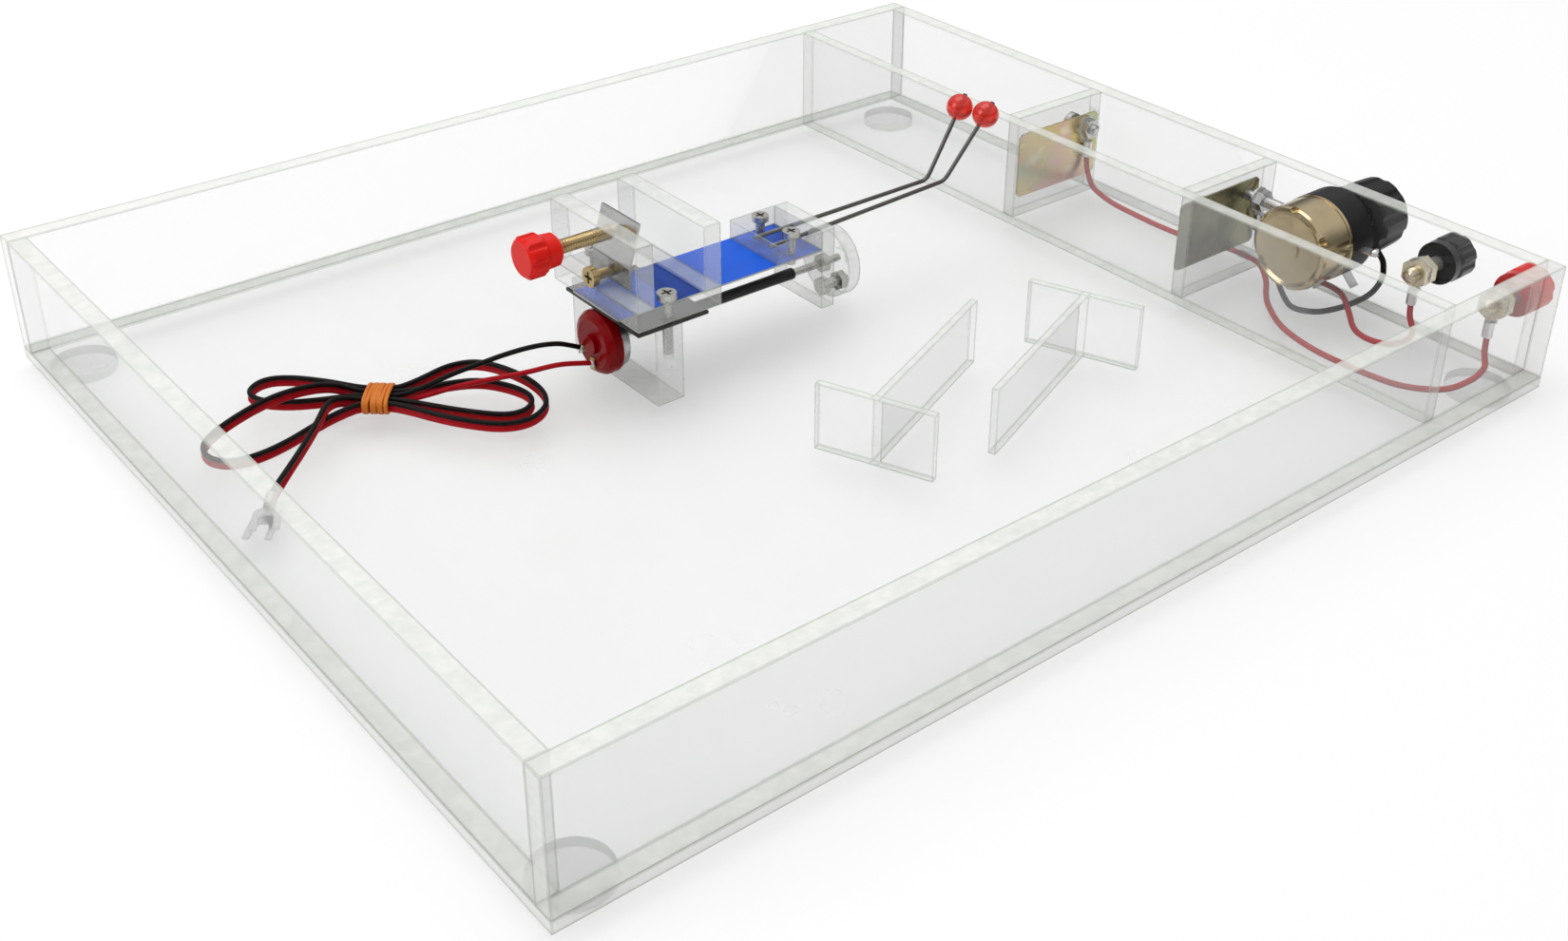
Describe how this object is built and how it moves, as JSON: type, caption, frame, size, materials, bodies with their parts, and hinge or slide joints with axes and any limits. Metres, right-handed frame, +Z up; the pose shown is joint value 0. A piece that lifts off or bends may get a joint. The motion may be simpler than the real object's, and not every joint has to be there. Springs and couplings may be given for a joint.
{
  "type": "ripple tank",
  "caption": "Clear tray with a battery bay, speed control and terminals, a clamp-on motor unit with sprung dipper beads, and loose wave barriers.",
  "frame": {"origin": "bottom centre of the object's bounding box, on the table under the feet, leaving out the motor lead", "axes": "+X along the long walls towards the terminals and the rheostat knob, +Y from the near long wall to the far one, +Z up"},
  "size_m": [0.313, 0.255, 0.0527],
  "materials": {
    "clear_acrylic": "clear polished acrylic sheet",
    "clear_pad": "clear soft pads",
    "zinc_plate": "yellow passivated zinc plate",
    "spring_steel": "bright spring steel",
    "zinc_bolt": "bright zinc plate",
    "tinned": "tinned metal",
    "gold_zinc": "yellow zinc plate",
    "black_plastic": "black moulded plastic",
    "gloss_black": "gloss black plastic",
    "gloss_red": "gloss red plastic",
    "brass": "turned brass",
    "red_pvc": "red insulation",
    "black_pvc": "black insulation",
    "screw_steel": "nickel plate",
    "nickel_brass": "nickel-plated brass studs",
    "rod_steel": "dark polished spring wire",
    "blue_leaf": "spring steel with a blue film",
    "dark_steel": "dark steel",
    "motor_metal": "bright drawn can",
    "red_cap_plastic": "red moulded end cap",
    "black_rubber": "black rubber tube",
    "red_bead": "translucent red beads",
    "orange_band": "orange elastic band"
  },
  "bodies": {
    "tank": {"base_sheet": "clear_acrylic", "near_long_wall": "clear_acrylic", "far_long_wall": "clear_acrylic", "left_end_wall": "clear_acrylic", "right_end_wall": "clear_acrylic", "divider_wall": "clear_acrylic", "tank_feet": "clear_pad", "battery_partition_far": "clear_acrylic", "battery_partition_near": "clear_acrylic", "contact_plates": "zinc_plate", "contact_spring": "spring_steel", "contact_bolts": "zinc_bolt", "terminals": "tinned", "rheostat_can": "gold_zinc", "rheostat_body": "black_plastic", "rheostat_bush": "zinc_bolt", "post_studs": "nickel_brass", "post_collars": "gloss_black", "red_wires": "red_pvc", "black_wire": "black_pvc"},
    "dipper_unit": {"clamp_base": "clear_acrylic", "clamp_screw_cheek": "clear_acrylic", "clamp_plain_cheek": "clear_acrylic", "support_leg": "clear_acrylic", "clamp_plate": "dark_steel", "base_screws": "screw_steel", "leaf_spring": "blue_leaf", "pressure_plate_foot": "spring_steel", "pressure_plate_screw": "brass", "motor_can": "motor_metal", "motor_cap": "red_cap_plastic", "lead_hank_red": "red_pvc", "lead_hank_black": "black_pvc", "lead_band": "orange_band", "motor_wire_red": "red_pvc", "motor_wire_black": "black_pvc", "lead_tail_red": "red_pvc", "lead_tail_black": "black_pvc", "spade_lugs": "tinned"},
    "leaf_end": {"rod_block": "clear_acrylic", "block_screws": "screw_steel", "bearing_plate": "clear_acrylic", "dipper_rods": "rod_steel", "dipper_beads": "red_bead"},
    "drive_shaft": {"motor_shaft": "screw_steel", "coupling_tube": "black_rubber"},
    "eccentric": {"stub_shaft": "screw_steel", "eccentric_disc": "clear_acrylic", "eccentric_bolt_and_nut": "screw_steel"},
    "clamp_pad": {"clamp_tip": "brass"},
    "clamp_control": {"clamp_screw": "brass", "clamp_knob": "gloss_red"},
    "pressure_arm": {"pressure_arm": "spring_steel"},
    "rheostat_control": {"rheostat_knob": "black_plastic"},
    "black_washer": {"black_cap_washer": "zinc_bolt"},
    "black_cap": {"black_cap": "gloss_black"},
    "red_washer": {"red_cap_washer": "zinc_bolt"},
    "red_cap": {"red_cap": "gloss_red"},
    "left_barrier": {"left_barrier": "clear_acrylic"},
    "right_barrier": {"right_barrier": "clear_acrylic"}
  },
  "joints": [
    {"name": "dipper_unit_lift", "type": "slide", "parent": "tank", "child": "dipper_unit", "axis": [0, 0, 1], "range_m": [0, 0.06]},
    {"name": "leaf_flex", "type": "hinge", "parent": "dipper_unit", "child": "leaf_end", "pos_m": [-0.0245, 0.0196, 0.02755], "axis": [0, -1, 0], "range_deg": [-1, 2.5], "stiffness_Nm_per_rad": 2, "deforming": ["leaf_spring", "coupling_tube"]},
    {"name": "motor_spin", "type": "hinge", "parent": "dipper_unit", "child": "drive_shaft", "pos_m": [-0.0365, 0.0196, 0.0174], "axis": [1, 0, 0], "continuous": true},
    {"name": "eccentric_spin", "type": "hinge", "parent": "leaf_end", "child": "eccentric", "pos_m": [0.0169, 0.0196, 0.0174], "axis": [1, 0, 0], "continuous": true},
    {"name": "clamp_screw_travel", "type": "slide", "parent": "dipper_unit", "child": "clamp_pad", "axis": [1, 0, 0], "range_m": [-0.0012, 0.003]},
    {"name": "clamp_screw_turn", "type": "hinge", "parent": "clamp_pad", "child": "clamp_control", "pos_m": [-0.0565, 0.0196, 0.0465], "axis": [1, 0, 0], "range_deg": [-617.76, 1544.4]},
    {"name": "pressure_arm_bend", "type": "hinge", "parent": "dipper_unit", "child": "pressure_arm", "pos_m": [-0.04405, 0.0196, 0.0395], "axis": [0, 1, 0], "range_deg": [-9.9, 24.7]},
    {"name": "rheostat_turn", "type": "hinge", "parent": "tank", "child": "rheostat_control", "pos_m": [0.1385, -0.0645, 0.0263], "axis": [1, 0, 0], "range_deg": [-140, 140]},
    {"name": "left_barrier_lift", "type": "slide", "parent": "tank", "child": "left_barrier", "axis": [0, 0, 1], "range_m": [0, 0.06]},
    {"name": "right_barrier_lift", "type": "slide", "parent": "tank", "child": "right_barrier", "axis": [0, 0, 1], "range_m": [0, 0.06]},
    {"name": "black_cap_travel", "type": "slide", "parent": "tank", "child": "black_washer", "axis": [1, 0, 0], "range_m": [0, 0.004]},
    {"name": "black_cap_turn", "type": "hinge", "parent": "black_washer", "child": "black_cap", "pos_m": [0.1505, -0.092, 0.0243], "axis": [-1, 0, 0], "range_deg": [0, 2059.2]},
    {"name": "red_cap_travel", "type": "slide", "parent": "tank", "child": "red_washer", "axis": [1, 0, 0], "range_m": [0, 0.004]},
    {"name": "red_cap_turn", "type": "hinge", "parent": "red_washer", "child": "red_cap", "pos_m": [0.1505, -0.1152, 0.0243], "axis": [-1, 0, 0], "range_deg": [0, 2059.2]}
  ],
  "couplings": [
    {"joint": "eccentric_spin", "follows": "motor_spin", "ratio": 1},
    {"joint": "clamp_screw_turn", "follows": "clamp_screw_travel", "rad_per_m": 8976},
    {"joint": "pressure_arm_bend", "follows": "clamp_screw_travel", "rad_per_m": 143},
    {"joint": "black_cap_turn", "follows": "black_cap_travel", "rad_per_m": 8976},
    {"joint": "red_cap_turn", "follows": "red_cap_travel", "rad_per_m": 8976}
  ]
}
